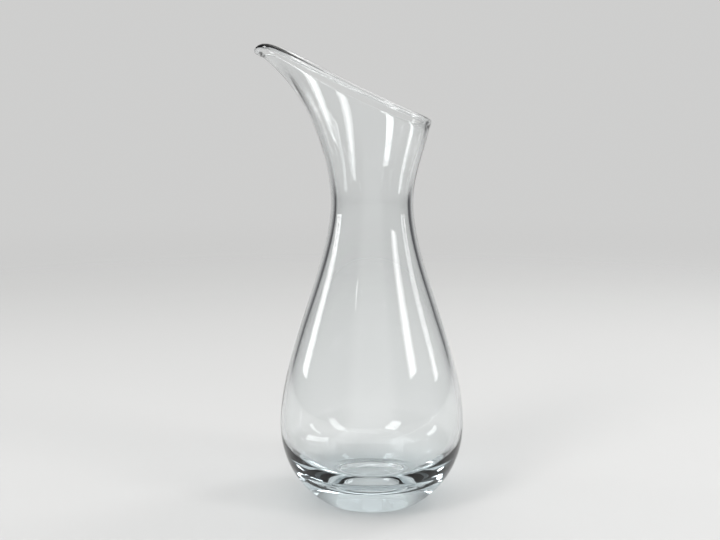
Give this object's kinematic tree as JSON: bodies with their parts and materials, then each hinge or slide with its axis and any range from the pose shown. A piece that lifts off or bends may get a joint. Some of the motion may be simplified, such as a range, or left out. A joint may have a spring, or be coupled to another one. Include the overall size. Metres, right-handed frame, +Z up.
{
  "type": "carafe",
  "caption": "Clear glass carafe with a pear-shaped body, thick base, narrow neck and a trumpet mouth cut on a slant into a long spout and a short lip",
  "frame": {"origin": "on the vertical axis of body and neck, in the plane of the flat ring that the carafe rests on", "axes": "+Z up along the axis of body and neck; the spout points along -X and the short lip along +X; Y runs across the mouth"},
  "size_m": [0.1306, 0.117, 0.2873],
  "materials": {
    "glass": "clear, polished, faint blue-grey tint in its thick parts"
  },
  "bodies": {
    "root": {"carafe": "glass"}
  },
  "joints": []
}
